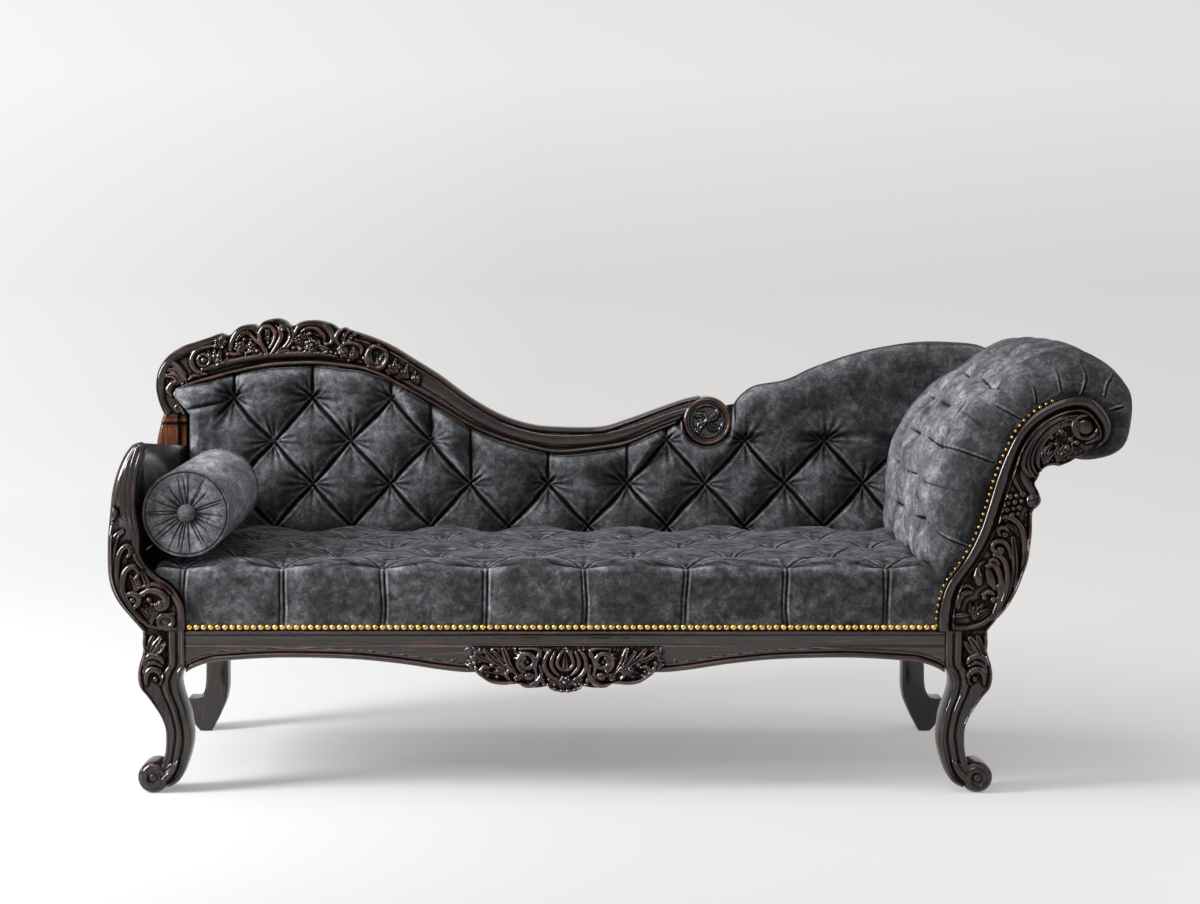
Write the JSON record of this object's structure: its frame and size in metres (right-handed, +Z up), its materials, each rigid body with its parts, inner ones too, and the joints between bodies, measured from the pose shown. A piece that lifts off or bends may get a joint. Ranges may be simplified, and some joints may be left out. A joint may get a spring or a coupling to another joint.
{
  "type": "fainting couch",
  "caption": "Couch with a carved show-wood frame, one low scrolled arm, a raised rolled headrest, a falling crest rail, buttoned padding and a loose bolster.",
  "frame": {"origin": "middle of the couch's footprint, on the floor", "axes": "+X along the seat towards the headrest, +Y from the front to the back, +Z up"},
  "size_m": [1.9078, 0.6452, 0.863],
  "materials": {
    "ebonised_wood": "dark lacquer, rubbed red-brown at the edges",
    "frame_wood": "sawn hardwood",
    "velvet": "crushed charcoal velvet",
    "nail_brass": "polished, domed",
    "spring_steel": "oiled wire",
    "jute": "plain woven",
    "black_cloth": "plain woven"
  },
  "bodies": {
    "couch": {"front_rail": "ebonised_wood", "rear_rail": "frame_wood", "left_end_rail": "frame_wood", "right_end_rail": "frame_wood", "corner_blocks": "frame_wood", "front_left_leg": "ebonised_wood", "front_right_leg": "ebonised_wood", "rear_left_leg": "ebonised_wood", "rear_right_leg": "ebonised_wood", "apron_carving": "ebonised_wood", "seat_springs": "spring_steel", "spring_clips": "spring_steel", "seat_deck_cloth": "jute", "dust_cover": "black_cloth", "seat_pad": "velvet", "seat_buttons": "velvet", "seat_nails": "nail_brass", "rear_left_post": "ebonised_wood", "rear_right_post": "frame_wood", "back_mid_posts": "frame_wood", "stay_rail": "frame_wood", "wing_rail": "frame_wood", "crest_rail": "ebonised_wood", "crest_carving": "ebonised_wood", "crest_rosette": "ebonised_wood", "back_webbing": "jute", "back_pad": "velvet", "wing_roll": "velvet", "back_buttons": "velvet", "outside_back": "black_cloth", "arm_facing": "ebonised_wood", "arm_carving": "ebonised_wood", "arm_board": "ebonised_wood", "headrest_facing": "ebonised_wood", "headrest_carving": "ebonised_wood", "headrest_rear_frame": "ebonised_wood", "headrest_slats": "frame_wood", "headrest_pad": "velvet", "headrest_buttons": "velvet", "headrest_nails": "nail_brass", "headrest_outside": "ebonised_wood"},
    "bolster": {"bolster": "velvet", "bolster_buttons": "velvet"}
  },
  "joints": [
    {"name": "bolster_lift", "type": "slide", "parent": "couch", "child": "bolster", "axis": [0.1191, 0, 0.9929], "range_m": [0, 0.4]}
  ]
}
